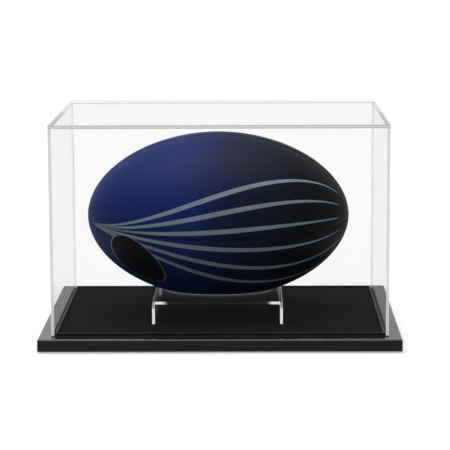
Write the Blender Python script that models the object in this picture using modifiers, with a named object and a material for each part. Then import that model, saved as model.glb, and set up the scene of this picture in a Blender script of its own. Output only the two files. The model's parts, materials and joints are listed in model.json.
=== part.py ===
"""Display case for a rugby ball, built in metres, +Z up, front towards -Y.

The origin is on the floor under the middle of the base.  A clear five-panel cover drops over four
locating strips on a gloss base board.  Inside it, a bent clear stand sits on a fabric-covered panel
and holds the ball by its belly in an oval hole.
"""
import math

import bmesh
import bpy
from mathutils import Matrix, Vector

# ---- the ball -----------------------------------------------------------------------------------
BALL_LENGTH = 0.2936          # tip to tip, along X
BALL_DIAMETER = 0.187         # round the belly
BALL_FULLNESS = 1.93          # exponent of the ball's outline: 2 is a plain ellipse
SKIN_THICKNESS = 0.0022       # each of the four sewn panels
BLADDER_WALL = 0.0008
TIP_HOLE_RADIUS = 0.0010      # where the four panels meet at a tip
SEAM_ANGLE = -9.0             # degrees from the front (-Y) up, first of four seams a quarter turn apart
VALVE_ANGLE = -90.0           # degrees, the valve faces down into the stand
VALVE_RADIUS = 0.0032
VALVE_LIP_RADIUS = 0.0070     # round the stem, inside the bladder
VALVE_LIP_HEIGHT = 0.0016
VALVE_LIP_DROP = 0.0014       # below the bladder's wall, whose facets sag that much
VALVE_RECESS = 0.0005         # of the stem below the ball's skin
NEEDLE_HOLE_RADIUS = 0.0006
NEEDLE_HOLE_DEPTH = 0.003

# ---- the stand ----------------------------------------------------------------------------------
SHEET_THICKNESS = 0.003
STAND_HEIGHT = 0.025          # from the panel to the top of the plate
BEND_INNER_RADIUS = 0.0015
HOLE_LENGTH = 0.126           # oval hole, along X
HOLE_WIDTH = 0.086            # oval hole, along Y
STAND_END_MARGIN = 0.0085     # plate left beyond each end of the hole
STAND_SIDE_MARGIN = 0.0375    # plate left in front of and behind the hole
STAND_SHIFT_X = -0.0034       # the loose stand sits a little left of the middle

# ---- the cover ----------------------------------------------------------------------------------
WALL = 0.003
END_CLEARANCE = 0.0302        # inside, from each tip of the ball to a side wall
FACE_CLEARANCE = 0.0385       # inside, from the belly to the front and back walls
HEADROOM = 0.0195             # inside, from the top of the ball to the top panel
EDGE_BREAK = 0.00025          # polished edges of the clear panels

# ---- the base -----------------------------------------------------------------------------------
BASE_THICKNESS = 0.013
LEDGE_WIDTH = 0.014           # base left showing round the cover, chamfer included
BASE_CHAMFER = 0.0011
STRIP_WIDTH = 0.002
STRIP_HEIGHT = 0.003
PANEL_THICKNESS = 0.0015
PANEL_EDGE_ROUND = 0.0005
FOOT_RADIUS = 0.0065
FOOT_HEIGHT = 0.0015
FOOT_INSET = 0.026            # from the base's edges to a foot's centre

# ---- clearances ---------------------------------------------------------------------------------
SEAT_GAP = 0.0003             # between pieces that rest on, are glued to or are sewn to each other
COVER_PLAY = 0.0005           # between the cover's walls and the locating strips

# ---- mesh density -------------------------------------------------------------------------------
BALL_STEPS = 32               # round the ball
OUTLINE_POINTS = 25           # along half the ball, tip to tip
OVAL_STEPS = 48
ROUND_STEPS = 24

# ---- sizes that follow --------------------------------------------------------------------------
BALL_RADIUS = BALL_DIAMETER / 2
HALF_BALL = BALL_LENGTH / 2
FOOT_TOP = FOOT_HEIGHT
BASE_BOTTOM = FOOT_TOP + SEAT_GAP
BASE_TOP = BASE_BOTTOM + BASE_THICKNESS
PANEL_BOTTOM = BASE_TOP + SEAT_GAP
PANEL_TOP = PANEL_BOTTOM + PANEL_THICKNESS
STAND_BOTTOM = PANEL_TOP + SEAT_GAP
PLATE_TOP = STAND_BOTTOM + STAND_HEIGHT
STAND_WIDTH = HOLE_LENGTH + 2 * STAND_END_MARGIN
STAND_DEPTH = HOLE_WIDTH + 2 * STAND_SIDE_MARGIN


def ball_radius_at(x, half_length, radius):
    """Radius of the ball's outline at a distance x from its middle."""
    return radius * (1 - abs(x / half_length) ** BALL_FULLNESS) ** (1 / BALL_FULLNESS)


def seat_height():
    """Height of the ball's axis over the plate: the ends or the sides of the hole carry it."""
    on_sides = math.sqrt(BALL_RADIUS ** 2 - (HOLE_WIDTH / 2) ** 2)
    on_ends = ball_radius_at(HOLE_LENGTH / 2, HALF_BALL, BALL_RADIUS)
    return max(on_sides, on_ends) + SEAT_GAP


BALL_CENTRE = Vector((STAND_SHIFT_X, 0.0, PLATE_TOP + seat_height()))
HALF_INSIDE_X = HALF_BALL + END_CLEARANCE
HALF_INSIDE_Y = BALL_RADIUS + FACE_CLEARANCE
INSIDE_TOP = BALL_CENTRE.z + BALL_RADIUS + HEADROOM
COVER_BOTTOM = BASE_TOP + SEAT_GAP
HALF_COVER_X = HALF_INSIDE_X + WALL
HALF_COVER_Y = HALF_INSIDE_Y + WALL
HALF_BASE_X = HALF_COVER_X + LEDGE_WIDTH
HALF_BASE_Y = HALF_COVER_Y + LEDGE_WIDTH
STRIP_OUTER_X = HALF_INSIDE_X - COVER_PLAY
STRIP_OUTER_Y = HALF_INSIDE_Y - COVER_PLAY
HALF_PANEL_X = STRIP_OUTER_X - STRIP_WIDTH - SEAT_GAP
HALF_PANEL_Y = STRIP_OUTER_Y - STRIP_WIDTH - SEAT_GAP


# ---- scene and materials ------------------------------------------------------------------------
def clear_scene():
    for thing in list(bpy.data.objects):
        bpy.data.objects.remove(thing, do_unlink=True)
    for group in list(bpy.data.collections):
        bpy.data.collections.remove(group)


def new_collection(name):
    group = bpy.data.collections.new(name)
    bpy.context.scene.collection.children.link(group)
    return group


def new_material(name, colour, roughness, metallic=0.0, alpha=1.0):
    material = bpy.data.materials.new(name)
    material.use_nodes = True
    shader = material.node_tree.nodes["Principled BSDF"]
    shader.inputs["Base Color"].default_value = (*colour, 1.0)
    shader.inputs["Roughness"].default_value = roughness
    shader.inputs["Metallic"].default_value = metallic
    shader.inputs["Alpha"].default_value = alpha
    material.diffuse_color = (*colour, alpha)
    return material


def place(mesh, name, group, material=None, parent=None):
    """Make an object of a mesh, in a collection and under a parent that doesn't move it."""
    thing = bpy.data.objects.new(name, mesh)
    group.objects.link(thing)
    if material:
        mesh.materials.append(material)
    if parent:
        thing.parent = parent
    return thing


def new_axis(name, location, parent=None):
    """An empty on a joint's axis, given as a place in the world."""
    empty = bpy.data.objects.new(name, None)
    empty.empty_display_size = 0.02
    empty.location = Vector(location) - (parent.location if parent else Vector())
    empty.parent = parent
    parts.objects.link(empty)
    return empty


def shade_round(mesh, angle=35.0):
    mesh.shade_smooth()
    mesh.set_sharp_from_angle(angle=math.radians(angle))


# ---- shapes -------------------------------------------------------------------------------------
def box_mesh(name, low, high):
    bm = bmesh.new()
    bmesh.ops.create_cube(bm, size=1.0)
    low, high = Vector(low), Vector(high)
    bmesh.ops.scale(bm, vec=high - low, verts=bm.verts)
    bmesh.ops.translate(bm, vec=(high + low) / 2, verts=bm.verts)
    mesh = bpy.data.meshes.new(name)
    bm.to_mesh(mesh)
    bm.free()
    return mesh


def moved(mesh, origin):
    """Shift a mesh drawn in world places so that it can sit under an empty at origin."""
    mesh.transform(Matrix.Translation(-Vector(origin)))
    return mesh


def add_bevel(thing, width, segments=1):
    bevel = thing.modifiers.new("edge_break", "BEVEL")
    bevel.width = width
    bevel.segments = segments
    bevel.limit_method = "ANGLE"


def turned_mesh(name, outline, steps, closed=False):
    """Turn an outline of (radius, height) points about Z.  It runs down its outer side."""
    profile = bpy.data.meshes.new(name)
    count = len(outline)
    links = [(i, (i + 1) % count) for i in range(count if closed else count - 1)]
    profile.from_pydata([(r, 0.0, z) for r, z in outline], links, [])
    thing = bpy.data.objects.new(name, profile)
    cutters.objects.link(thing)
    screw = thing.modifiers.new("turn", "SCREW")
    screw.axis = "Z"
    screw.angle = math.tau
    screw.steps = steps
    screw.render_steps = steps
    screw.use_merge_vertices = True
    screw.merge_threshold = 0.00001
    mesh = evaluated_copy(thing, name)
    bpy.data.objects.remove(thing, do_unlink=True)
    return mesh


def evaluated_copy(thing, name):
    bpy.context.view_layer.update()
    graph = bpy.context.evaluated_depsgraph_get()
    mesh = bpy.data.meshes.new_from_object(thing.evaluated_get(graph))
    mesh.name = name
    return mesh


def add_cut(thing, cutter, operation="DIFFERENCE"):
    cutter.hide_render = True
    cutter.display_type = "WIRE"
    cut = thing.modifiers.new(cutter.name, "BOOLEAN")
    cut.operation = operation
    cut.solver = "EXACT"
    cut.object = cutter


def rod_mesh(name, radius, start, end, steps=ROUND_STEPS):
    """A cylinder along Z between two heights."""
    bm = bmesh.new()
    bmesh.ops.create_cone(bm, cap_ends=True, segments=steps, radius1=radius, radius2=radius,
                          depth=end - start)
    bmesh.ops.translate(bm, vec=(0, 0, (start + end) / 2), verts=bm.verts)
    mesh = bpy.data.meshes.new(name)
    bm.to_mesh(mesh)
    bm.free()
    return mesh


def towards(angle):
    """Turn +Z to point away from the ball's axis, angle degrees up from the front (-Y)."""
    return Matrix.Rotation(math.radians(90.0 - angle), 4, "X")


# ---- the base -----------------------------------------------------------------------------------
def make_base_board():
    mesh = box_mesh("base_board", (-HALF_BASE_X, -HALF_BASE_Y, BASE_BOTTOM),
                    (HALF_BASE_X, HALF_BASE_Y, BASE_TOP))
    bm = bmesh.new()
    bm.from_mesh(mesh)
    kept_sharp = BASE_BOTTOM + BASE_THICKNESS / 10
    edges = [e for e in bm.edges if max(v.co.z for v in e.verts) > kept_sharp]
    bmesh.ops.bevel(bm, geom=edges, offset=BASE_CHAMFER, segments=1, affect="EDGES")
    bm.to_mesh(mesh)
    bm.free()
    return place(mesh, "base_board", parts, gloss_black)


def make_display_panel():
    mesh = box_mesh("display_panel", (-HALF_PANEL_X, -HALF_PANEL_Y, PANEL_BOTTOM),
                    (HALF_PANEL_X, HALF_PANEL_Y, PANEL_TOP))
    panel = place(mesh, "display_panel", parts, black_fabric)
    add_bevel(panel, PANEL_EDGE_ROUND, segments=2)


def make_strips():
    """Front and back strips run the whole width; the side strips fit between them."""
    low, high = BASE_TOP + SEAT_GAP, BASE_TOP + SEAT_GAP + STRIP_HEIGHT
    inner_x, inner_y = STRIP_OUTER_X - STRIP_WIDTH, STRIP_OUTER_Y - STRIP_WIDTH
    side_y = inner_y - SEAT_GAP
    spans = {
        "strip_front": ((-STRIP_OUTER_X, -STRIP_OUTER_Y), (STRIP_OUTER_X, -inner_y)),
        "strip_back": ((-STRIP_OUTER_X, inner_y), (STRIP_OUTER_X, STRIP_OUTER_Y)),
        "strip_left": ((-STRIP_OUTER_X, -side_y), (-inner_x, side_y)),
        "strip_right": ((inner_x, -side_y), (STRIP_OUTER_X, side_y)),
    }
    for name, (near, far) in spans.items():
        strip = place(box_mesh(name, (*near, low), (*far, high)), name, parts, gloss_black)
        add_bevel(strip, EDGE_BREAK)


def make_feet():
    shape = rod_mesh("foot", FOOT_RADIUS, 0.0, FOOT_HEIGHT)
    shape.materials.append(rubber)
    shade_round(shape)
    for front_back, y in (("front", -1), ("back", 1)):
        for side, x in (("left", -1), ("right", 1)):
            foot = place(shape, f"foot_{front_back}_{side}", parts)
            foot.location = (x * (HALF_BASE_X - FOOT_INSET), y * (HALF_BASE_Y - FOOT_INSET), 0.0)


# ---- the cover ----------------------------------------------------------------------------------
def make_cover():
    """The top lies on four walls; the side walls stand between the front and the back."""
    axis = new_axis("cover_lift_axis", (0, 0, COVER_BOTTOM))
    wall_top = INSIDE_TOP - SEAT_GAP
    side_y = HALF_INSIDE_Y - SEAT_GAP
    spans = {
        "cover_top": ((-HALF_COVER_X, -HALF_COVER_Y, INSIDE_TOP),
                      (HALF_COVER_X, HALF_COVER_Y, INSIDE_TOP + WALL)),
        "cover_front": ((-HALF_COVER_X, -HALF_COVER_Y, COVER_BOTTOM),
                        (HALF_COVER_X, -HALF_INSIDE_Y, wall_top)),
        "cover_back": ((-HALF_COVER_X, HALF_INSIDE_Y, COVER_BOTTOM),
                       (HALF_COVER_X, HALF_COVER_Y, wall_top)),
        "cover_left": ((-HALF_COVER_X, -side_y, COVER_BOTTOM), (-HALF_INSIDE_X, side_y, wall_top)),
        "cover_right": ((HALF_INSIDE_X, -side_y, COVER_BOTTOM), (HALF_COVER_X, side_y, wall_top)),
    }
    for name, (low, high) in spans.items():
        mesh = moved(box_mesh(name, low, high), axis.location)
        add_bevel(place(mesh, name, parts, clear_acrylic, axis), EDGE_BREAK)


# ---- the stand ----------------------------------------------------------------------------------
def bend_points(centre, radius, start, steps=6):
    """A quarter turn of points about a centre, clockwise from a start angle in degrees."""
    angles = [math.radians(start - 90.0 * i / steps) for i in range(steps + 1)]
    return [(centre[0] + radius * math.cos(a), centre[1] + radius * math.sin(a)) for a in angles]


def stand_outline():
    """The bent sheet seen from the front: two legs and a plate, as (x, z) about its middle."""
    half, thick = STAND_WIDTH / 2, SHEET_THICKNESS
    outer_bend = BEND_INNER_RADIUS + thick
    bend_x, bend_z = half - outer_bend, PLATE_TOP - outer_bend
    outer = bend_points((-bend_x, bend_z), outer_bend, 180) + bend_points((bend_x, bend_z), outer_bend, 90)
    inner = bend_points((-bend_x, bend_z), BEND_INNER_RADIUS, 180)
    inner += bend_points((bend_x, bend_z), BEND_INNER_RADIUS, 90)
    left_leg = [(-half + thick, STAND_BOTTOM), (-half, STAND_BOTTOM)]
    right_leg = [(half, STAND_BOTTOM), (half - thick, STAND_BOTTOM)]
    return left_leg + outer + right_leg + inner[::-1]


def extruded_mesh(name, outline, depth):
    """A flat (x, z) outline made as thick as depth along Y, as one closed mesh."""
    curve = bpy.data.curves.new(name, "CURVE")
    curve.dimensions = "2D"
    curve.fill_mode = "BOTH"
    curve.extrude = depth / 2
    spline = curve.splines.new("POLY")
    spline.points.add(len(outline) - 1)
    for point, (x, z) in zip(spline.points, outline):
        point.co = (x, z, 0.0, 1.0)
    spline.use_cyclic_u = True
    thing = bpy.data.objects.new(name, curve)
    cutters.objects.link(thing)
    mesh = evaluated_copy(thing, name)
    bpy.data.objects.remove(thing, do_unlink=True)
    mesh.transform(Matrix.Rotation(math.pi / 2, 4, "X"))
    bm = bmesh.new()
    bm.from_mesh(mesh)
    bmesh.ops.remove_doubles(bm, verts=bm.verts, dist=0.00001)
    bmesh.ops.recalc_face_normals(bm, faces=bm.faces)
    bm.to_mesh(mesh)
    bm.free()
    return mesh


def make_stand():
    axis = new_axis("stand_lift_axis", (STAND_SHIFT_X, 0, STAND_BOTTOM))
    mesh = extruded_mesh("ball_stand", stand_outline(), STAND_DEPTH)
    mesh.transform(Matrix.Translation((0, 0, -STAND_BOTTOM)))
    shade_round(mesh, 20.0)
    stand = place(mesh, "ball_stand", parts, clear_acrylic, axis)
    oval = rod_mesh("stand_hole_cutter", 1.0, -STAND_HEIGHT / 4, STAND_HEIGHT * 1.5, OVAL_STEPS)
    oval.transform(Matrix.Diagonal((HOLE_LENGTH / 2, HOLE_WIDTH / 2, 1.0, 1.0)))
    cutter = place(oval, "stand_hole_cutter", cutters, parent=axis)
    add_cut(stand, cutter)
    return axis


# ---- the ball -----------------------------------------------------------------------------------
def ball_outline(inset, tip_radius):
    """Points (radius, length) of the ball's half outline, moved inwards by inset, tip to tip."""
    points = []
    for i in range(OUTLINE_POINTS):
        turn = math.pi * i / (OUTLINE_POINTS - 1)
        length = HALF_BALL * math.copysign(abs(math.cos(turn)) ** (2 / BALL_FULLNESS), math.cos(turn))
        radius = BALL_RADIUS * math.sin(turn) ** (2 / BALL_FULLNESS)
        slope_x = abs(length / HALF_BALL) ** (BALL_FULLNESS - 1) / HALF_BALL
        slope_r = (radius / BALL_RADIUS) ** (BALL_FULLNESS - 1) / BALL_RADIUS
        steep = math.hypot(slope_x, slope_r)
        length -= math.copysign(inset * slope_x / steep, length)
        radius -= inset * slope_r / steep
        points.append((max(radius, tip_radius), length))
    return points


def quarter_block(name, start_angle):
    """A block over a quarter turn of the ball, short of both its seams by half a seam's gap."""
    reach, half_seam = BALL_LENGTH, SEAT_GAP / 2
    mesh = box_mesh(name, (-reach, half_seam, half_seam), (reach, reach, reach))
    mesh.transform(towards(start_angle))
    return mesh


def make_ball_panels(axis, valve_cutter):
    """Four sewn panels: the hollow ball, cut to a quarter turn each."""
    shell = ball_outline(0.0, TIP_HOLE_RADIUS) + ball_outline(SKIN_THICKNESS, TIP_HOLE_RADIUS)[::-1]
    whole_ball = turned_mesh("ball_panel", shell, BALL_STEPS, closed=True)
    whole_ball.transform(Matrix.Rotation(math.pi / 2, 4, "Y"))
    whole_ball.materials.append(ball_skin)
    shade_round(whole_ball)
    for index, where in enumerate(("front_upper", "back_upper", "back_lower", "front_lower")):
        name = f"ball_panel_{where}"
        panel = place(whole_ball, name, parts, parent=axis)
        block = quarter_block(f"{name}_cutter", SEAM_ANGLE + 90.0 * index)
        add_cut(panel, place(block, block.name, cutters, parent=axis), "INTERSECT")
        if where == "front_lower":
            add_cut(panel, valve_cutter)


def make_bladder(axis, valve_cutter):
    """A thin bag just inside the panels, open only where the valve passes through it."""
    bag = turned_mesh("ball_bladder", ball_outline(SKIN_THICKNESS + SEAT_GAP, 0.0), BALL_STEPS)
    bag.transform(Matrix.Rotation(math.pi / 2, 4, "Y"))
    shade_round(bag)
    bladder = place(bag, "ball_bladder", parts, rubber, axis)
    wall = bladder.modifiers.new("wall", "SOLIDIFY")
    wall.thickness = BLADDER_WALL
    wall.offset = -1.0
    add_cut(bladder, valve_cutter)


def make_valve(axis):
    """A stem with a blind needle hole, and a lip inside the bladder."""
    top = BALL_RADIUS - VALVE_RECESS
    lip_top = BALL_RADIUS - SKIN_THICKNESS - BLADDER_WALL - VALVE_LIP_DROP
    lip_bottom = lip_top - VALVE_LIP_HEIGHT
    outline = [
        (0.0, top - NEEDLE_HOLE_DEPTH), (NEEDLE_HOLE_RADIUS, top - NEEDLE_HOLE_DEPTH),
        (NEEDLE_HOLE_RADIUS, top), (VALVE_RADIUS, top), (VALVE_RADIUS, lip_top),
        (VALVE_LIP_RADIUS, lip_top), (VALVE_LIP_RADIUS, lip_bottom), (0.0, lip_bottom),
    ]
    valve = turned_mesh("ball_valve", outline, ROUND_STEPS)
    valve.transform(towards(VALVE_ANGLE))
    shade_round(valve)
    place(valve, "ball_valve", parts, rubber, axis)


def make_ball(stand_axis):
    axis = new_axis("ball_turn_axis", BALL_CENTRE, stand_axis)
    bore = rod_mesh("valve_cutter", VALVE_RADIUS + SEAT_GAP, BALL_RADIUS / 2, BALL_DIAMETER)
    bore.transform(towards(VALVE_ANGLE))
    valve_cutter = place(bore, "valve_cutter", cutters, parent=axis)
    make_ball_panels(axis, valve_cutter)
    make_bladder(axis, valve_cutter)
    make_valve(axis)


clear_scene()
parts = new_collection("rugby_ball_display_case")
cutters = new_collection("cutters")
gloss_black = new_material("gloss_black", (0.012, 0.012, 0.013), 0.08)
black_fabric = new_material("black_fabric", (0.018, 0.018, 0.019), 0.95)
clear_acrylic = new_material("clear_acrylic", (0.93, 0.95, 0.95), 0.03, alpha=0.25)
rubber = new_material("rubber", (0.02, 0.02, 0.02), 0.7)
ball_skin = new_material("ball_skin", (0.02, 0.03, 0.11), 0.45)

make_base_board()
make_display_panel()
make_strips()
make_feet()
make_cover()
make_ball(make_stand())
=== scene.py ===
"""Clear display case with an oval ball on its stand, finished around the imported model.

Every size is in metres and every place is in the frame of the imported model.
"""

import json
import math

import bpy
import numpy as np
from mathutils import Matrix, Vector


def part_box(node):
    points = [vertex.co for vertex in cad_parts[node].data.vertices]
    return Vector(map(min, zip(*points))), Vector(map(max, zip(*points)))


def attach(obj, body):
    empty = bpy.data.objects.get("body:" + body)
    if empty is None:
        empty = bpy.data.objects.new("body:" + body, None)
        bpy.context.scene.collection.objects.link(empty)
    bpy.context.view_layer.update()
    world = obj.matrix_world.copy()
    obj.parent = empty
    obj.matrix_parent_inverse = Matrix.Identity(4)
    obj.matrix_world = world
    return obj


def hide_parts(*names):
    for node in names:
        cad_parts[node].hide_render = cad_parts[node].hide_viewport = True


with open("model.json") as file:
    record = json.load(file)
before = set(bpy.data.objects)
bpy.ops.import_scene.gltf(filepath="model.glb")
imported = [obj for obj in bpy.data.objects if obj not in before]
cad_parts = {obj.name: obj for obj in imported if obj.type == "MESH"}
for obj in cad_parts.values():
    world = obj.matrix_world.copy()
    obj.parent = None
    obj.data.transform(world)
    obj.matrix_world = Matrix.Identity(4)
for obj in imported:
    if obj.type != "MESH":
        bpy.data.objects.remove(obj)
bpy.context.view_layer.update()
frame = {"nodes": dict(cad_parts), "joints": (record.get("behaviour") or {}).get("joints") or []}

bl_info = {
    "name": "Ball Display Case",
    "version": (1, 0, 0),
    "blender": (4, 5, 0),
    "location": "3D View > Sidebar > Display Case",
    "description": "Finishes the pieces of a clear display case and the oval ball inside it",
    "category": "Object",
}

PANELS = ("front_upper", "back_upper", "back_lower", "front_lower")
COVER_WALLS = ("cover_top", "cover_front", "cover_back", "cover_left", "cover_right")
STRIPS = ("strip_front", "strip_back", "strip_left", "strip_right")
FEET = ("foot_front_left", "foot_front_right", "foot_back_left", "foot_back_right")

BALL_MIDDLE = Vector(
    next(j for j in frame["joints"] if j["name"] == "ball_turn")["pos_m"]
)
BALL_LOW, BALL_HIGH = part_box("ball_panel_front_upper")
BALL_RADIUS = -BALL_LOW.y
BALL_HALF_LENGTH = (BALL_HIGH.x - BALL_LOW.x) / 2
BALL_FULLNESS = 1.93
FIRST_SEAM = math.radians(-9)
VALVE_LOW, VALVE_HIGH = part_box("ball_valve")

WHITE = (1.0, 1.0, 1.0, 1.0)
BLACK = (0.0, 0.0, 0.0, 1.0)
DUST = (0.11, 0.11, 0.115, 1.0)
# Near-black colour of the matt track under the cover's walls: painted shade.
TRACK_SHADE = (0.004, 0.004, 0.004, 1.0)
LINT = (0.06, 0.058, 0.055, 1.0)
SHEEN = (0.5, 0.48, 0.46, 1.0)
MIRROR = (0.95, 0.95, 0.95, 1.0)
WORN_RUBBER = (0.13, 0.125, 0.12, 1.0)
HANDLED = (0.02, 0.022, 0.032, 1.0)
SOILED = (0.006, 0.006, 0.009, 1.0)
GRIP_TOP = (0.09, 0.1, 0.13, 1.0)

SEAT_GAP = 0.0003  # between pieces that rest on each other
VALVE_PLAY = 0.0003  # round the valve, in the skin
CLOTH_LIFT = 0.00003
CLOTH_DROP = 0.0012  # down over the panel's edges
CLOTH_WAVE = 0.00004
CLOTH_STEPS = (176, 132)
LIGHT_SPREAD = math.radians(70)
LIGHT_TILT = (math.radians(8), math.radians(-8), 0)
SENSOR_WIDTH = 36.0  # millimetres
FARTHEST_SEEN = 200.0


# ---------------------------------------------------------------- shader maths


class Socket:
    """A node's output that takes part in Python expressions, one Math node an operator."""

    def __init__(self, shader, output):
        self.shader = shader
        self.output = output

    def math(self, operation, first, second=None, clamp=False):
        """Adds one Math node with its operation set."""
        values = {0: first} if second is None else {0: first, 1: second}
        settings = {"operation": operation, "use_clamp": clamp}
        return self.shader.node("ShaderNodeMath", settings, values)

    def __add__(self, other):
        return self.math("ADD", self, other)

    def __radd__(self, other):
        return self.math("ADD", other, self)

    def __sub__(self, other):
        return self.math("SUBTRACT", self, other)

    def __rsub__(self, other):
        return self.math("SUBTRACT", other, self)

    def __mul__(self, other):
        return self.math("MULTIPLY", self, other)

    def __rmul__(self, other):
        return self.math("MULTIPLY", other, self)

    def __truediv__(self, other):
        return self.math("DIVIDE", self, other)

    def __rtruediv__(self, other):
        return self.math("DIVIDE", other, self)

    def __pow__(self, other):
        return self.math("POWER", self, other)

    def __abs__(self):
        return self.math("ABSOLUTE", self)

    def clamped(self):
        """The value held between 0 and 1."""
        return self.math("ADD", self, 0.0, clamp=True)

    def sine(self):
        """The sine of an angle in radians."""
        return self.math("SINE", self)

    def larger(self, other):
        """The larger of two values."""
        return self.math("MAXIMUM", self, other)

    def wrapped(self, length):
        """What is left over after whole lengths are taken away, never negative."""
        return self.math("FLOORED_MODULO", self, length)


class Shader:
    """A node tree, with one method that adds any node and a few that join them."""

    def __init__(self, name, owner=None):
        self.owner = owner or bpy.data.materials.new(name)
        self.owner.use_nodes = True
        self.tree = self.owner.node_tree
        self.tree.nodes.clear()

    def node(self, kind, settings=None, values=None, output=0):
        """Adds a node: its settings first, then the values or links of its sockets."""
        made = self.tree.nodes.new(kind)
        for key, value in (settings or {}).items():
            if key == "stops":
                self.fill_ramp(made.color_ramp, value)
            elif key == "ramp":
                made.color_ramp.interpolation = value
            else:
                setattr(made, key, value)
        for key, value in (values or {}).items():
            if isinstance(value, Socket):
                self.tree.links.new(value.output, made.inputs[key])
            else:
                made.inputs[key].default_value = value
        return Socket(self, made.outputs[output]) if made.outputs else made

    @staticmethod
    def fill_ramp(ramp, stops):
        """Sets a colour ramp's stops from (place, colour) pairs."""
        while len(ramp.elements) < len(stops):
            ramp.elements.new(0.5)
        for element, (place, colour) in zip(ramp.elements, sorted(stops)):
            element.position = place
            element.color = colour

    def sibling(self, socket, output):
        """Another output of the node that a socket belongs to."""
        return Socket(self, socket.output.node.outputs[output])

    def place(self):
        """A point on the piece, in metres along the three axes of the model."""
        point = self.node("ShaderNodeTexCoord", output="Object")
        x = self.node("ShaderNodeSeparateXYZ", values={0: point}, output="X")
        return point, x, self.sibling(x, "Y"), self.sibling(x, "Z")

    def noise(self, point, size, detail=3.0, roughness=0.55, distortion=0.0):
        """Cloudy noise from 0 to 1, with lumps about one size across."""
        return self.node(
            "ShaderNodeTexNoise",
            {"noise_dimensions": "3D"},
            {
                "Vector": point,
                "Scale": 1.0 / size,
                "Detail": detail,
                "Roughness": roughness,
                "Distortion": distortion,
            },
            "Fac",
        )

    def stretched(self, point, factors):
        """The point with each of its axes scaled."""
        return self.node(
            "ShaderNodeVectorMath", {"operation": "MULTIPLY"}, {0: point, 1: factors}
        )

    def mix(self, factor, first, second):
        """One colour over another."""
        made = self.node(
            "ShaderNodeMix", {"data_type": "RGBA", "clamp_factor": True}
        ).output.node
        for index, value in ((0, factor), (6, first), (7, second)):
            if isinstance(value, Socket):
                self.tree.links.new(value.output, made.inputs[index])
            else:
                made.inputs[index].default_value = value
        return Socket(self, made.outputs[2])

    def bump(self, height, distance, strength=1.0):
        """A normal that follows a height, in units of the distance."""
        values = {"Height": height, "Distance": distance, "Strength": strength}
        return self.node("ShaderNodeBump", values=values, output="Normal")

    def principled(self, **values):
        """The main surface shader; names use _ for a space."""
        sockets = {key.replace("_", " "): value for key, value in values.items()}
        return self.node("ShaderNodeBsdfPrincipled", values=sockets, output="BSDF")

    def bounces(self):
        """1 once light has met a matt surface, and 1 once it has met a mirroring one."""
        matt = self.node("ShaderNodeLightPath", output="Diffuse Depth")
        return matt.clamped(), self.sibling(matt, "Glossy Depth").clamped()

    def blend_shaders(self, factor, first, second):
        """The second shader laid over the first."""
        return self.node("ShaderNodeMixShader", values={0: factor, 1: first, 2: second})

    def finish(self, surface):
        """Sends a shader to the material's output and hands back the material."""
        self.node("ShaderNodeOutputMaterial", values={"Surface": surface})
        return self.owner


def rgba(colour):
    """A colour property as a socket value."""
    return (colour[0], colour[1], colour[2], 1.0)


# ---------------------------------------------------------------- finishes


def black_acrylic(settings, name, index, polish, seat=None):
    """Black sheet with faint wipe marks, dust and hair scratches.

    seat holds the half width and half depth that a dark matt track ends at: painted shade under the
    cover's walls, with the gloss taken away.
    """
    s = Shader(name)
    point, x, y, z = s.place()
    wipe = s.noise(s.stretched(point, (0.35, 1.0, 1.0)), 0.045, 4.0, 0.6, 0.8)
    dust = ((s.noise(point, 0.0011, 2.0) - 0.71) * 9.0).clamped()
    hair = s.noise(s.stretched(point, (0.05, 1.0, 1.0)), 0.0009, 2.0)
    colour = s.mix(dust * 0.12, rgba(settings.base_colour), DUST)
    sheet = s.principled(
        Base_Color=colour,
        Roughness=polish + wipe * 0.05 + dust * 0.25,
        IOR=index,
        Normal=s.bump(hair, 0.000006, 0.3),
    )
    if not seat:
        return s.finish(sheet)
    # Painted shade: a darker, dull track where the cover's walls stand on the base.
    past = (abs(x) - seat[0]).larger(abs(y) - seat[1])
    track = ((past + settings.track) * 5000.0).clamped() * (past * -5000.0).clamped()
    shaded_track = s.principled(
        Base_Color=TRACK_SHADE,
        Roughness=(0.75 + wipe * 0.2).clamped(),
        Specular_IOR_Level=0.03,
    )
    return s.finish(s.blend_shaders(track, sheet, shaded_track))


def black_fabric(settings):
    """Fine short-napped cloth: a tight weave under a soft, uneven pile."""
    s = Shader("black_napped_cloth")
    point, x, y, z = s.place()
    thread = 2 * math.pi / settings.thread
    warp = (x * thread).sine() * 0.5 + 0.5
    weft = (y * thread).sine() * 0.5 + 0.5
    nap = s.noise(point, 0.0016, 5.0, 0.7)
    brushed = s.noise(s.stretched(point, (0.5, 1.3, 1.0)), 0.05, 3.0, 0.6, 0.6)
    lint = ((s.noise(point, 0.0021, 1.0) - 0.76) * 14.0).clamped()
    # Random pile tone, plus a slight painted shade between the threads from the weave.
    tone = (nap * 0.55 + brushed * 0.55 + warp * weft * 0.2 - 0.15).clamped()
    colour = s.mix(tone, rgba(settings.cloth_shade), rgba(settings.cloth_colour))
    colour = s.mix(lint * 0.25, colour, LINT)
    height = warp * 0.5 + weft * 0.5 + nap * 1.6
    return s.finish(
        s.principled(
            Base_Color=colour,
            Roughness=(0.82 + nap * 0.16).clamped(),
            Specular_IOR_Level=0.05,
            Sheen_Weight=0.02,
            Sheen_Roughness=0.45,
            Sheen_Tint=SHEEN,
            Normal=s.bump(height, 0.00016, 0.8),
        )
    )


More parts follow.
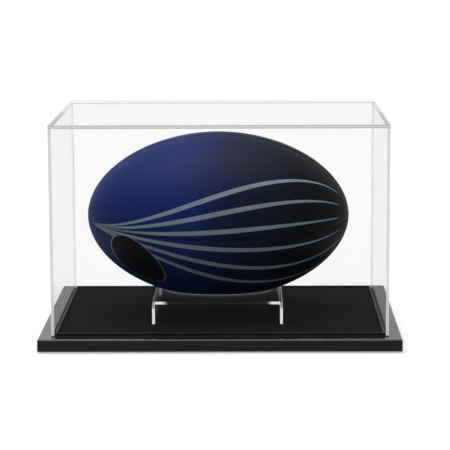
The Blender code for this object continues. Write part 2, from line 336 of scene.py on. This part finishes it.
def clear_acrylic(settings, name, edge_axes, lit, glue=None, crest=None, folded=False,
                  glow=None):
    """Clear cast sheet: bright faces, and sawn edges with a painted glow.

    The edges are the faces square to edge_axes, and lit gives how bright their painted glow is
    from the place on the piece. glue is the height of a faint glued line, and crest the
    height above which an edge turns to a grey painted shade. A folded sheet's bends get the painted
    glow too.
    """
    s = Shader(name)
    point, x, y, z = s.place()
    haze = s.noise(point, 0.06, 3.0, 0.6, 0.5)
    normal = s.node("ShaderNodeNewGeometry", output="True Normal")
    facing = s.node("ShaderNodeSeparateXYZ", values={0: normal}, output="X")
    sides = [abs(s.sibling(facing, axis)) for axis in edge_axes]
    edge = sides[0] if len(sides) == 1 else sides[0].larger(sides[1])
    # lit places the edges' painted glow, brighter in some places of the piece than in others.
    edge = ((edge - settings.edge_lean) * 6.0).clamped() * lit(x, y, z)
    level = ((abs(s.sibling(facing, "Z")) - 0.5) * 6.0).clamped()
    high = ((z - 0.1) * 20.0).clamped()
    through = s.node(
        "ShaderNodeBsdfTransparent", values={"Color": rgba(settings.acrylic_tint)}
    )
    mirror = s.principled(
        Base_Color=MIRROR,
        Metallic=1.0,
        Roughness=0.015 + haze * 0.03,
    )
    slant = s.node("ShaderNodeLayerWeight", values={"Blend": 0.5}, output="Facing")
    share = slant**5 * settings.acrylic_glance + settings.acrylic_shine
    sheet = s.blend_shaders(share, through, mirror)
    saw = s.noise(point, 0.0006, 2.0)
    # Edges that face up high on the walls take a grey painted shade.
    tone = s.mix(level * high, rgba(settings.edge_colour), rgba(settings.top_edge_shade_colour))
    # Flat faces low down, such as the walls' lower edges, take a nearly black painted shade where the
    # walls stand on the base.
    foot = level * (1 - high)
    tone = s.mix(foot, tone, rgba(settings.foot_shade_colour))
    # The roof's upper edges blend into the same grey painted shade.
    if crest:
        above = ((z - crest) / 0.0003).clamped()
        tone = s.mix(0.25 + above * 0.6, tone, rgba(settings.top_edge_shade_colour))
    # The sawn shader glows by its emission: painted light on the edges, the glued line and the bends.
    sawn = s.principled(
        Base_Color=tone,
        Roughness=0.35 + haze * 0.15,
        Specular_IOR_Level=0.0,
        Emission_Color=tone,
        Emission_Strength=glow or settings.edge_glow,
        Normal=s.bump(saw, 0.00004, 0.4),
    )
    cover = edge * (1 - foot) * settings.edge_frost
    # The walls' lower faces are half covered in that dark painted shade.
    if "Z" in edge_axes:
        cover = cover.larger(foot * 0.5)
    # Painted glow along the sheet's bends, brighter towards the front.
    if folded:
        bend = abs(facing) * abs(s.sibling(facing, "Z")) * 2
        cover = cover.larger(((bend - 0.3) * 5.0).clamped() * (0.45 - y * 3.0).clamped())
    if glue:
        cover = cover.larger(((z - glue) / 0.0003).clamped() * 0.45)
    return s.finish(s.blend_shaders(cover, sheet, sawn))


def moulded_rubber(name, colour, grain=0.0008, worn=0.12):
    """Matt moulded rubber with a fine spark-eroded grain and dusty high spots."""
    s = Shader(name)
    point, x, y, z = s.place()
    fine = s.noise(point, grain, 3.0, 0.65)
    patch = s.noise(point, grain * 14, 3.0)
    shade = s.mix((patch * 1.4 - 0.4).clamped() * worn, colour, WORN_RUBBER)
    return s.finish(
        s.principled(
            Base_Color=shade,
            Roughness=(0.6 + fine * 0.25).clamped(),
            Specular_IOR_Level=0.35,
            Normal=s.bump(fine, grain * 0.2, 0.7),
        )
    )


STREAK_COUNT = 6
STREAK_SPREAD = 24.0  # degrees between neighbours where they end
STREAK_PLACES = np.linspace(0.04, 0.95, 13)  # share of the length from the left tip
STREAK_HALF = 2.6  # millimetres, half of a streak's width where it is widest


def even_fan():
    """Plain streaks that leave the left tip together and spread evenly from one seam.

    Each is a row of (place, degrees up from the front, half width in millimetres).
    """
    middle = math.degrees(FIRST_SEAM)
    for index in range(STREAK_COUNT):
        turn = (index - (STREAK_COUNT - 1) / 2) * STREAK_SPREAD
        yield [
            (share, middle + turn * share, STREAK_HALF * math.sin(math.pi * share))
            for share in STREAK_PLACES
        ]


WIDEST_STREAK = 14.0  # millimetres of half width that a ramp's full alpha stands for
STREAK_STOPS = 28
STREAK_END = 0.012  # share of the length over which a streak runs out
INK_EDGE = 0.00035
TURN = math.degrees(1.0)


def smooth_line(streak):
    """A streak's points on stops that lie closer at its ends: place, angle, half width."""
    places, angles, halves = (np.array(column, float) for column in zip(*streak))
    radius = profile(np.arccos(1 - 2 * places))[1]
    turned = np.radians(angles) * radius
    run = np.hypot(np.diff(places) * 2 * BALL_HALF_LENGTH, np.diff(turned))
    run = np.concatenate(([0.0], np.cumsum(run)))
    share = np.linspace(0.0, 1.0, STREAK_STOPS)
    even = run[-1] * (0.3 * share + 0.35 * (1.0 - np.cos(np.pi * share)))
    after = np.clip(np.searchsorted(run, even), 1, len(run) - 1)
    before = after - 1
    step = run[after] - run[before]
    u = (even - run[before]) / step

    def eased(values):
        slopes = np.gradient(values, run)
        return (
            (1 + 2 * u) * (1 - u) ** 2 * values[before]
            + u * (1 - u) ** 2 * step * slopes[before]
            + u * u * (3 - 2 * u) * values[after]
            + u * u * (u - 1) * step * slopes[after]
        )

    place, angle = np.maximum.accumulate(eased(places)), eased(angles)
    place = place + np.arange(STREAK_STOPS) * 1e-6
    around = profile(np.arccos(np.clip(1 - 2 * place, -1, 1)))[1]
    rise = np.radians(np.gradient(angle, place)) * around / (2 * BALL_HALF_LENGTH)
    half = np.interp(even, run, halves) * np.sqrt(1 + rise**2)
    return place, angle, np.minimum(half, WIDEST_STREAK)


def streak_mask(s, along, degrees, radius, streak):
    """How much of one streak's ink lies here, from 0 to 1."""
    even, angles, halves = smooth_line(streak)
    stops = [(max(even[0] - STREAK_END, 0.0), angles[0], 0.0)]
    stops += list(zip(even, angles, halves))
    lean = (angles[-1] - angles[-2]) / (even[-1] - even[-2])
    end = min(STREAK_END, 8.0 / (1.0 + abs(lean)))
    stops.append((min(even[-1] + end, 1.0), angles[-1] + lean * end, 0.0))
    greys = [
        (float(place), (*[float(angle + 90) / 180] * 3, float(half) / WIDEST_STREAK))
        for place, angle, half in stops
    ]
    line = s.node(
        "ShaderNodeValToRGB", {"ramp": "LINEAR", "stops": greys}, {"Fac": along}, "Color"
    )
    half = s.sibling(line, "Alpha") * (WIDEST_STREAK / 1000)
    off_line = abs(degrees - (line * 180 - 90)) / TURN * radius
    return ((half - off_line) / INK_EDGE + 0.5).clamped() * (half / 0.0002).clamped()


def ball_print(s, settings, x, y, z):
    """The printed design: colour, and how much ink lies on the rubber."""
    sideways, depth, height = x - BALL_MIDDLE.x, y - BALL_MIDDLE.y, z - BALL_MIDDLE.z
    radius = (depth * depth + height * height) ** 0.5
    along = (sideways / (2 * BALL_HALF_LENGTH) + 0.5).clamped()
    turned = s.node("ShaderNodeMath", {"operation": "ARCTAN2"}, {0: height, 1: depth * -1.0})
    half_turn_start = math.degrees(FIRST_SEAM) - 90
    degrees = (turned * TURN - half_turn_start).wrapped(180.0) + half_turn_start
    ink = None
    for streak in even_fan():
        mask = streak_mask(s, along, degrees, radius, streak)
        ink = mask if ink is None else ink.larger(mask)

    lean = math.radians(settings.badge_lean)
    badge_x = sideways + settings.badge_offset
    badge_arc = degrees / TURN * radius + settings.badge_drop
    across = (badge_x * math.cos(lean) + badge_arc * math.sin(lean)) / settings.badge_length
    up = (badge_arc * math.cos(lean) - badge_x * math.sin(lean)) / settings.badge_width
    ring = (across * across + up * up) ** 0.5
    badge = ((1.0 - ring) * 60).clamped()
    rim = badge * ((ring - 0.945) * 60).clamped()

    fade = [
        (place, rgba(colour))
        for place, colour in (
            (0.0, settings.ball_blue), (0.34, settings.ball_blue),
            (0.62, settings.ball_middle), (0.84, settings.ball_dark), (1.0, settings.ball_dark),
        )
    ]
    body = s.node("ShaderNodeValToRGB", {"ramp": "EASE", "stops": fade}, {"Fac": along})
    streaks = s.mix(ink, body, rgba(settings.streak_colour))
    badged = s.mix(badge, streaks, rgba(settings.badge_colour))
    return s.mix(rim * 0.85, badged, rgba(settings.streak_colour)), ink, degrees, radius


def ball_rubber(settings):
    """Printed rubber skin with small raised grips, pressed seams and a satin face."""
    s = Shader("printed_grip_rubber")
    point, x, y, z = s.place()
    colour, ink, degrees, radius = ball_print(s, settings, x, y, z)
    grips = s.node(
        "ShaderNodeTexVoronoi",
        {"feature": "F1", "distance": "EUCLIDEAN"},
        {"Vector": point, "Scale": 1.0 / settings.grip_pitch, "Randomness": 0.25},
        "Distance",
    )
    grip = (0.5 - grips * 1.3).clamped()
    cloud = s.noise(point, 0.03, 4.0, 0.6)
    fine = s.noise(point, 0.0006, 2.0)
    seam_off = abs((degrees - math.degrees(FIRST_SEAM) + 45).wrapped(90.0) - 45) / TURN * radius
    soil = ((0.004 - seam_off) / 0.004).clamped() * cloud
    colour = s.mix(cloud * 0.18, colour, HANDLED)
    colour = s.mix(soil * 0.5, colour, SOILED)
    colour = s.mix(grip * 0.03, colour, GRIP_TOP)
    rough = (0.40 + cloud * 0.12 - ink * 0.05 + fine * 0.04 + grip * 0.05).clamped()
    height = grip * 1.0 + fine * 0.15 + ink * 0.12
    return s.finish(
        s.principled(
            Base_Color=colour,
            Roughness=rough,
            Specular_IOR_Level=settings.ball_shine,
            Normal=s.bump(height, 0.0001, 0.3),
        )
    )


# ---------------------------------------------------------------- mesh helpers


def mesh_object(name, points, faces, smooth=True):
    """A new object from points and faces, with its normals pointing outwards."""
    mesh = bpy.data.meshes.new(name)
    mesh.from_pydata([tuple(p) for p in points], [], faces)
    mesh.validate()
    mesh.polygons.foreach_set("use_smooth", [smooth] * len(mesh.polygons))
    mesh.update()
    made = bpy.data.objects.new(name, mesh)
    bpy.context.scene.collection.objects.link(made)
    return made


def with_modifiers(obj):
    """Turns an object's modifiers into its own mesh."""
    graph = bpy.context.evaluated_depsgraph_get()
    shaped = bpy.data.meshes.new_from_object(obj.evaluated_get(graph))
    obj.modifiers.clear()
    old, obj.data = obj.data, shaped
    bpy.data.meshes.remove(old)
    return obj


def dress(obj, material):
    """Gives every slot of an object one material."""
    obj.data.materials.clear()
    obj.data.materials.append(material)
    return obj


def chamfer(obj, width):
    """Takes the sharp corners off a sheet."""
    cut = obj.modifiers.new("chamfer", "BEVEL")
    cut.width = width
    cut.segments = 2
    cut.limit_method = "ANGLE"
    cut.harden_normals = False
    return obj


def profile(turn):
    """Place along the axis and radius of the ball's outline at a turn from 0 to pi."""
    power = 2 / BALL_FULLNESS
    c, s = np.cos(turn), np.sin(turn)
    return BALL_HALF_LENGTH * np.sign(c) * np.abs(c) ** power, BALL_RADIUS * s**power


def ball_skin(index, settings):
    """Points and faces of one closed skin panel, pressed down along its seams."""
    rows, columns = settings.skin_rows, settings.skin_columns
    first_turn = settings.skin_tip / BALL_RADIUS
    turns = np.linspace(first_turn, math.pi - first_turn, rows)
    x, r = profile(turns)
    start = FIRST_SEAM + index * math.pi / 2
    share = (1 - np.cos(np.linspace(0, math.pi, columns))) / 2
    gap = np.minimum(settings.seam_gap / 2 / r, 0.2)[:, None]
    angle = start + gap + share[None, :] * (math.pi / 2 - 2 * gap)
    slope = np.gradient(r, x)
    normal_x = -slope / np.sqrt(1 + slope**2)
    normal_r = 1 / np.sqrt(1 + slope**2)
    to_seam = np.minimum(angle - start, start + math.pi / 2 - angle) * r[:, None]
    fade = np.minimum(r / 0.02, 1.0)[:, None]
    dip = settings.seam_depth * fade * np.exp(-((to_seam / settings.seam_width) ** 2))
    layers = []
    for inset in (dip, np.maximum(dip, settings.skin_thickness * fade)):
        radius = r[:, None] - inset * normal_r[:, None]
        along = x[:, None] - inset * normal_x[:, None]
        layers.append(
            np.stack(
                (
                    BALL_MIDDLE.x + along + 0 * angle,
                    BALL_MIDDLE.y - radius * np.cos(angle),
                    BALL_MIDDLE.z + radius * np.sin(angle),
                ),
                axis=-1,
            ).reshape(-1, 3)
        )
    points = np.concatenate(layers)
    count = rows * columns

    def at(row, column, layer=0):
        return layer * count + row * columns + column

    faces = []
    for row in range(rows - 1):
        for column in range(columns - 1):
            a, b = at(row, column), at(row + 1, column)
            c, d = at(row + 1, column + 1), at(row, column + 1)
            faces.append((a, d, c, b))
            faces.append(tuple(i + count for i in (a, b, c, d)))
        for column in (0, columns - 1):
            a, b = at(row, column), at(row + 1, column)
            quad = (a, b, b + count, a + count)
            faces.append(quad if column == 0 else quad[::-1])
    for column in range(columns - 1):
        for row in (0, rows - 1):
            a, b = at(row, column), at(row, column + 1)
            quad = (a, a + count, b + count, b)
            faces.append(quad if row == 0 else quad[::-1])
    return points, faces


def cut_round_hole(obj, middle, radius, low, high, sides=48):
    """Cuts an upright round hole through an object."""
    ring = [
        (middle[0] + radius * math.cos(a), middle[1] + radius * math.sin(a))
        for a in (2 * math.pi * i / sides for i in range(sides))
    ]
    points = [(*p, low) for p in ring] + [(*p, high) for p in ring]
    faces = [tuple(reversed(range(sides))), tuple(range(sides, 2 * sides))]
    for i in range(sides):
        j = (i + 1) % sides
        faces.append((i, j, j + sides, i + sides))
    cutter = mesh_object("hole_cutter", points, faces, smooth=False)
    cut = obj.modifiers.new("valve_hole", "BOOLEAN")
    cut.operation = "DIFFERENCE"
    cut.solver = "EXACT"
    cut.object = cutter
    with_modifiers(obj)
    bpy.data.objects.remove(cutter)
    return obj


# ---------------------------------------------------------------- settings


def colour_property(name, description, default):
    """A colour that a user may change."""
    return bpy.props.FloatVectorProperty(
        name=name, description=description, subtype="COLOR", size=3, min=0.0, max=1.0,
        default=default,
    )


def length_property(name, description, default):
    """A length in metres that a user may change."""
    return bpy.props.FloatProperty(
        name=name, description=description, default=default, min=0.0, precision=5,
        unit="LENGTH", subtype="DISTANCE",
    )


class CaseFinish(bpy.types.PropertyGroup):
    """Colours and fine sizes of the base, the cloth and the clear cover."""

    base_colour: colour_property("Base", "Colour of the black base sheet", (0.0085, 0.0085, 0.0088))
    base_shine: bpy.props.FloatProperty(
        name="Base shine", description="Refractive index of the base's surface",
        default=1.4, min=1.0, max=2.0,
    )
    chamfer: length_property("Chamfer", "Width taken off the base's corners", 0.0008)
    # The track is painted shade under the cover's walls.
    track: length_property("Track", "Width of the matt track under the cover", 0.0036)
    strip_shine: bpy.props.FloatProperty(
        name="Strip shine", description="Refractive index of the strips' surface",
        default=1.22, min=1.0, max=2.0,
    )
    cloth_colour: colour_property("Cloth", "Colour of the cloth's pile", (0.0082, 0.008, 0.0076))
    # cloth_shade is the darker pile tone, and also painted shade between the threads.
    cloth_shade: colour_property("Cloth shade", "Colour between the threads", (0.0026, 0.0026, 0.0026))
    thread: length_property("Thread", "Pitch of the cloth's weave", 0.0008)
    glue_line: length_property("Glue line", "Height of the glued line under the roof", 0.0012)
    cloth_thickness: length_property("Cloth thickness", "Thickness of the cloth", 0.00012)
    acrylic_tint: colour_property("Acrylic", "Tint of each clear face", (0.955, 0.957, 0.956))
    acrylic_shine: bpy.props.FloatProperty(
        name="Acrylic shine", description="Share mirrored by a clear face seen square on",
        default=0.0015, min=0.0, max=1.0, subtype="FACTOR",
    )
    acrylic_glance: bpy.props.FloatProperty(
        name="Acrylic glance", description="Share more mirrored by a clear face seen aslant",
        default=0.14, min=0.0, max=1.0, subtype="FACTOR",
    )
    edge_colour: colour_property("Sawn edge", "Colour of the sheet's sawn edges", (0.45, 0.45, 0.445))
    # Grey painted shade on the edges that face up under the roof and on the roof's rim.
    top_edge_shade_colour: colour_property("Glued edge", "Colour of the edges under the roof", (0.2, 0.2, 0.197))
    # Lower edges are painted shade where the walls stand on the base.
    foot_shade_colour: colour_property("Lower edge", "Colour of the edges on the base", (0.02, 0.02, 0.02))
    # Edge glow and stand glow are painted light: the edges' emission.
    edge_glow: bpy.props.FloatProperty(
        name="Edge glow", description="Light that the sheet carries to its edges",
        default=0.95, min=0.0, max=3.0,
    )
    stand_glow: bpy.props.FloatProperty(
        name="Stand glow", description="Light that the stand carries to its edges",
        default=1.35, min=0.0, max=3.0,
    )
    edge_frost: bpy.props.FloatProperty(
        name="Edge frost", description="How frosted the sawn edges are",
        default=0.85, min=0.0, max=1.0, subtype="FACTOR",
    )
    edge_lean: bpy.props.FloatProperty(
        name="Edge lean", description="How square to its axis a face is to count as an edge",
        default=0.3, min=0.0, max=1.0, subtype="FACTOR",
    )


class BallFinish(bpy.types.PropertyGroup):
    """Colours and fine sizes of the ball."""

    ball_blue: colour_property("Blue", "Colour of the ball's left half", (0.006, 0.0205, 0.13))
    ball_middle: colour_property("Navy", "Colour between the halves", (0.0056, 0.0082, 0.032))
    ball_dark: colour_property("Dark", "Colour of the ball's right half", (0.0036, 0.0036, 0.0062))
    streak_colour: colour_property("Streaks", "Colour of the streaks", (0.24, 0.3, 0.36))
    badge_colour: colour_property("Patch", "Colour of the plain oval patch", (0.005, 0.005, 0.007))
    badge_offset: length_property("Patch place", "From the ball's middle to the patch", 0.0875)
    badge_drop: length_property("Patch drop", "Down round the ball to the patch", 0.046)
    badge_length: length_property("Patch length", "Half the patch's length", 0.041)
    badge_width: length_property("Patch width", "Half the patch's width", 0.021)
    badge_lean: bpy.props.FloatProperty(
        name="Patch lean", description="Lean of the patch, in degrees", default=-50.0,
    )
    ball_shine: bpy.props.FloatProperty(
        name="Shine", description="Specular level of the rubber", default=0.09, min=0.0, max=1.0,
    )
    grip_pitch: length_property("Grip pitch", "Distance between the grips", 0.0022)
    seam_depth: length_property("Seam depth", "How far the seams are pressed in", 0.0009)
    seam_width: length_property("Seam width", "Half width of the pressed seam", 0.0017)
    seam_gap: length_property("Seam gap", "Gap between two skin panels", 0.00012)
    skin_thickness: length_property("Skin", "Thickness of the skin", 0.0021)
    skin_tip: length_property("Tip", "Radius left open at each tip", 0.0004)
    skin_rows: bpy.props.IntProperty(
        name="Rows", description="Rows of points along a panel", default=161, min=9,
    )
    skin_columns: bpy.props.IntProperty(
        name="Columns", description="Rows of points across a panel", default=45, min=5,
    )


class StudioSetup(bpy.types.PropertyGroup):
    """The floor, the light and the camera."""

    floor_colour: colour_property("Floor", "Colour of the plain floor", (0.45, 0.45, 0.45))
    floor_dim: colour_property("Floor bounce", "Colour of the light it throws up", (0.24, 0.24, 0.24))
    floor_glow: bpy.props.FloatProperty(
        name="Floor glow", description="Light of the floor itself", default=0.42, min=0.0,
    )
    floor_size: length_property("Floor size", "Half the floor's width", 40.0)
    key_strength: bpy.props.FloatProperty(
        name="Key", description="Strength of the overhead light", default=3.4, min=0.0,
    )
    sky_back: bpy.props.FloatProperty(
        name="Backdrop", description="Brightness behind the case", default=0.85, min=0.0,
    )
    sky_front: bpy.props.FloatProperty(
        name="Room", description="Brightness in front of the case", default=0.25, min=0.0,
    )
    sky_fall: bpy.props.FloatProperty(
        name="Backdrop fall", description="How much dimmer the backdrop's right side is",
        default=0.18, min=0.0, max=1.0, subtype="FACTOR",
    )
    lens: bpy.props.FloatProperty(
        name="Lens", description="Focal length on a 36 mm sensor, in millimetres", default=154.85,
    )
    eye: bpy.props.FloatVectorProperty(
        name="Camera", description="Place of the camera", default=(0.0341, -2.1529, 0.4672),
        subtype="TRANSLATION", unit="LENGTH",
    )
    yaw: bpy.props.FloatProperty(name="Yaw", description="Turn to the right", default=-0.0139)
    pitch: bpy.props.FloatProperty(name="Pitch", description="Turn downwards", default=0.1628)
    roll: bpy.props.FloatProperty(name="Roll", description="Roll about the view", default=-0.0045)


# ---------------------------------------------------------------- pieces


class CASE_OT_base(bpy.types.Operator):
    """Finish the black base, its four locating strips and its feet"""

    bl_idname = "display_case.base"
    bl_label = "Base"

    def execute(self, context):
        settings = context.scene.case_finish
        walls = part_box("cover_front")[1].x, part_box("cover_back")[1].y
        seat = [side + SEAT_GAP for side in walls]
        gloss = black_acrylic(settings, "gloss_black_sheet", settings.base_shine, 0.05, seat)
        satin = black_acrylic(settings, "satin_black_strip", settings.strip_shine, 0.35)
        board = chamfer(dress(frame["nodes"]["base_board"], gloss), settings.chamfer)
        for name in STRIPS:
            dress(frame["nodes"][name], satin)
        rubber = moulded_rubber("foot_rubber", (0.014, 0.014, 0.014, 1.0))
        for name in FEET:
            dress(frame["nodes"][name], rubber)
        return {"FINISHED"}


class CASE_OT_cloth(bpy.types.Operator):
    """Lay the black cloth over the display panel and turn it down at the edges"""

    bl_idname = "display_case.cloth"
    bl_label = "Cloth"

    def execute(self, context):
        settings = context.scene.case_finish
        board = frame["nodes"]["display_panel"]
        dress(board, moulded_rubber("panel_board", (0.012, 0.011, 0.010, 1.0), 0.0005, 0.3))
        low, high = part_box("display_panel")
        lift, drop = CLOTH_LIFT, CLOTH_DROP
        steps_x, steps_y = CLOTH_STEPS
        xs = [low.x - lift, *np.linspace(low.x, high.x, steps_x), high.x + lift]
        ys = [low.y - lift, *np.linspace(low.y, high.y, steps_y), high.y + lift]
        points = []
        for j, y in enumerate(ys):
            for i, x in enumerate(xs):
                down = i in (0, len(xs) - 1) or j in (0, len(ys) - 1)
                wave = math.sin(x * 47 + math.sin(y * 31) * 1.4) * math.sin(y * 53 + 0.7)
                z = high.z - drop if down else high.z + lift + CLOTH_WAVE * (wave + 1) / 2
                points.append((x, y, z))
        wide = len(xs)
        faces = [
            (j * wide + i, j * wide + i + 1, (j + 1) * wide + i + 1, (j + 1) * wide + i)
            for j in range(len(ys) - 1)
            for i in range(wide - 1)
        ]
        cloth = mesh_object("panel_cloth", points, faces)
        body = cloth.modifiers.new("thickness", "SOLIDIFY")
        body.thickness = settings.cloth_thickness
        body.offset = 1.0
        with_modifiers(cloth)
        dress(cloth, black_fabric(settings))
        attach(cloth, "base")
        return {"FINISHED"}


class CASE_OT_cover(bpy.types.Operator):
    """Finish the five clear sheets of the cover"""

    bl_idname = "display_case.cover"
    bl_label = "Cover"

    def execute(self, context):
        settings = context.scene.case_finish
        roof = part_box("cover_top")
        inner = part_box("cover_left")[1].x - 0.0008

        def lit(x, y, z):
            """Painted edge glow: whole at the front, and at the back only next to the inner face."""
            back = (y * 20.0).clamped()
            outer = ((abs(x) + inner) * 4000.0).clamped()
            return 1 - back * (0.1 + outer * 0.8)

        def roof_lit(x, y, z):
            """Painted edge glow, fainter towards the back."""
            return (0.75 - y * 3.0).clamped()

        glue = roof[0].z - settings.glue_line
        crest = roof[1].z - settings.glue_line
        top = clear_acrylic(settings, "clear_sheet_top", ("X", "Y"), roof_lit, None, crest)
        long = clear_acrylic(settings, "clear_sheet_long", ("X", "Z"), lit, glue)
        short = clear_acrylic(settings, "clear_sheet_short", ("Y", "Z"), lit)
        finishes = {
            "cover_top": top,
            "cover_front": long,
            "cover_back": long,
            "cover_left": short,
            "cover_right": short,
        }
        for name in COVER_WALLS:
            dress(frame["nodes"][name], finishes[name])
        return {"FINISHED"}


class CASE_OT_stand(bpy.types.Operator):
    """Finish the bent clear stand that the ball rests in"""

    bl_idname = "display_case.stand"
    bl_label = "Stand"

    def execute(self, context):
        settings = context.scene.case_finish
        stand = frame["nodes"]["ball_stand"]
        low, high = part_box("ball_stand")
        middle, half = (low.x + high.x) / 2, (high.x - low.x) / 2

        def lit(x, y, z):
            """Painted edge glow: bright at the plate's corners, down the legs and round the hole's
            front.
            """
            out = abs(x - middle)
            corner = ((out - (half - 0.017)) / 0.006).clamped()
            leg_top = ((out - (half - 0.0035)) / 0.001).clamped()
            leg_top = leg_top * ((z - (high.z - 0.009)) / 0.003).clamped()
            front = ((low.y + 0.002 - y) * 1000).clamped()
            back = ((y - high.y + 0.002) * 1000).clamped()
            rim = (1 - front) * (y * -100).clamped()
            upper = ((z - high.z + 0.0005) * 5000).clamped()
            edges = front.larger(back * 0.3)
            edges = edges * (0.012 + corner * 1.16) * (1 - leg_top * 0.6)
            return edges + rim * (0.04 + upper * 0.5)

        dress(stand, clear_acrylic(settings, "clear_sheet_stand", ("Y",), lit, folded=True,
                                   glow=settings.stand_glow))
        return {"FINISHED"}


class CASE_OT_ball(bpy.types.Operator):
    """Build the ball's four printed skin panels and finish its bladder and valve"""

    bl_idname = "display_case.ball"
    bl_label = "Ball"

    def execute(self, context):
        settings = context.scene.ball_finish
        skin = ball_rubber(settings)
        for index, place in enumerate(PANELS):
            points, faces = ball_skin(index, settings)
            panel = mesh_object("ball_skin_" + place, points, faces)
            if place == "front_lower":
                middle = (VALVE_LOW + VALVE_HIGH) / 2
                radius = (VALVE_HIGH.x - VALVE_LOW.x) / 2 + VALVE_PLAY
                low, high = VALVE_LOW.z - 0.004, VALVE_HIGH.z + 0.004
                cut_round_hole(panel, middle, radius, low, high)
            dress(panel, skin)
            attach(panel, "ball")
            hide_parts("ball_panel_" + place)
        latex = moulded_rubber("bladder_rubber", (0.02, 0.018, 0.016, 1.0), 0.0012, 0.3)
        valve = moulded_rubber("valve_rubber", (0.03, 0.03, 0.032, 1.0), 0.0004)
        dress(frame["nodes"]["ball_bladder"], latex)
        dress(frame["nodes"]["ball_valve"], valve)
        return {"FINISHED"}


class CASE_OT_studio(bpy.types.Operator):
    """Set up the pale floor, the soft light and the camera"""

    bl_idname = "display_case.studio"
    bl_label = "Studio"

    def floor(self, settings):
        """A plain pale floor with a faint mottle."""
        half = settings.floor_size
        corners = [(-half, -half, 0), (half, -half, 0), (half, half, 0), (-half, half, 0)]
        floor = mesh_object("studio_floor", corners, [(0, 1, 2, 3)], smooth=False)
        s = Shader("studio_floor")
        point, x, y, z = s.place()
        tone = s.noise(point, 0.4, 2.0)
        pale = s.mix(tone * 0.03, rgba(settings.floor_colour), (0.5, 0.5, 0.5, 1.0))
        matt, mirrored = s.bounces()
        in_front = ((-0.15 - y) * 60).clamped()
        dimmed = matt.larger(mirrored * in_front)
        colour = s.mix(dimmed, pale, rgba(settings.floor_dim))
        lit = s.mix(matt.larger(mirrored), WHITE, BLACK)
        surface = s.principled(
            Base_Color=colour, Roughness=0.8, Emission_Color=lit,
            Emission_Strength=settings.floor_glow,
        )
        dress(floor, s.finish(surface))

    def sky(self, settings):
        """A bright backdrop behind, a dimmer room in front, and white where seen directly."""
        world = bpy.data.worlds.new("studio_sky")
        bpy.context.scene.world = world
        s = Shader("studio_sky", world)
        way = s.node("ShaderNodeTexCoord", output="Generated")
        y = s.node("ShaderNodeSeparateXYZ", values={0: way}, output="Y")
        back = ((y + 0.25) / 0.7).clamped()
        right = ((s.sibling(y, "X") + 0.1) * 5).clamped()
        behind = settings.sky_back * (1 - right * settings.sky_fall)
        glow = settings.sky_front + back * (behind - settings.sky_front)
        matt, mirrored = s.bounces()
        strength = 1.0 + matt.larger(mirrored) * (glow - 1.0)
        light = s.node("ShaderNodeBackground", values={"Color": WHITE, "Strength": strength})
        s.node("ShaderNodeOutputWorld", values={"Surface": light})

    def lamps(self, settings):
        """One wide overhead light."""
        data = bpy.data.lights.new("overhead_light", "SUN")
        data.energy = settings.key_strength
        data.angle = LIGHT_SPREAD
        lamp = bpy.data.objects.new("overhead_light", data)
        lamp.rotation_euler = LIGHT_TILT
        bpy.context.scene.collection.objects.link(lamp)

    def camera(self, settings):
        """The camera, aimed by its yaw, pitch and roll."""
        data = bpy.data.cameras.new("camera")
        data.sensor_width = SENSOR_WIDTH
        data.lens = settings.lens
        data.clip_end = FARTHEST_SEEN
        yaw, pitch, roll = settings.yaw, settings.pitch, settings.roll
        ahead = Vector(
            (
                math.sin(yaw) * math.cos(pitch),
                math.cos(yaw) * math.cos(pitch),
                -math.sin(pitch),
            )
        )
        right = Vector((math.cos(yaw), -math.sin(yaw), 0.0))
        up = right.cross(ahead)
        rolled_right = right * math.cos(roll) + up * math.sin(roll)
        rolled_up = up * math.cos(roll) - right * math.sin(roll)
        turn = Matrix((rolled_right, rolled_up, -ahead)).transposed().to_4x4()
        camera = bpy.data.objects.new("camera", data)
        camera.matrix_world = Matrix.Translation(Vector(settings.eye)) @ turn
        bpy.context.scene.collection.objects.link(camera)
        bpy.context.scene.camera = camera

    def execute(self, context):
        settings = context.scene.studio_setup
        self.floor(settings)
        self.sky(settings)
        self.lamps(settings)
        self.camera(settings)
        context.scene.view_settings.view_transform = "Standard"
        return {"FINISHED"}


class CASE_PT_panel(bpy.types.Panel):
    """Lists the case's pieces and finishes"""

    bl_idname = "CASE_PT_panel"
    bl_label = "Display Case"
    bl_space_type = "VIEW_3D"
    bl_region_type = "UI"
    bl_category = "Display Case"

    def draw(self, context):
        for operator in OPERATORS:
            self.layout.operator(operator.bl_idname)
        for group in ("case_finish", "ball_finish", "studio_setup"):
            settings = getattr(context.scene, group)
            for key in settings.__annotations__:
                self.layout.prop(settings, key)


OPERATORS = (
    CASE_OT_base,
    CASE_OT_cloth,
    CASE_OT_cover,
    CASE_OT_stand,
    CASE_OT_ball,
    CASE_OT_studio,
)
CLASSES = (CaseFinish, BallFinish, StudioSetup, *OPERATORS, CASE_PT_panel)


def register():
    """Registers the classes and hangs their settings on the scene."""
    for cls in CLASSES:
        bpy.utils.register_class(cls)
    bpy.types.Scene.case_finish = bpy.props.PointerProperty(type=CaseFinish)
    bpy.types.Scene.ball_finish = bpy.props.PointerProperty(type=BallFinish)
    bpy.types.Scene.studio_setup = bpy.props.PointerProperty(type=StudioSetup)


def unregister():
    """Takes the settings and the classes away again."""
    for group in ("case_finish", "ball_finish", "studio_setup"):
        delattr(bpy.types.Scene, group)
    for cls in reversed(CLASSES):
        bpy.utils.unregister_class(cls)


def main():
    """Builds every piece in order."""
    register()
    for operator in OPERATORS:
        group, name = operator.bl_idname.split(".")
        getattr(getattr(bpy.ops, group), name)()


if __name__ == "__main__":
    main()
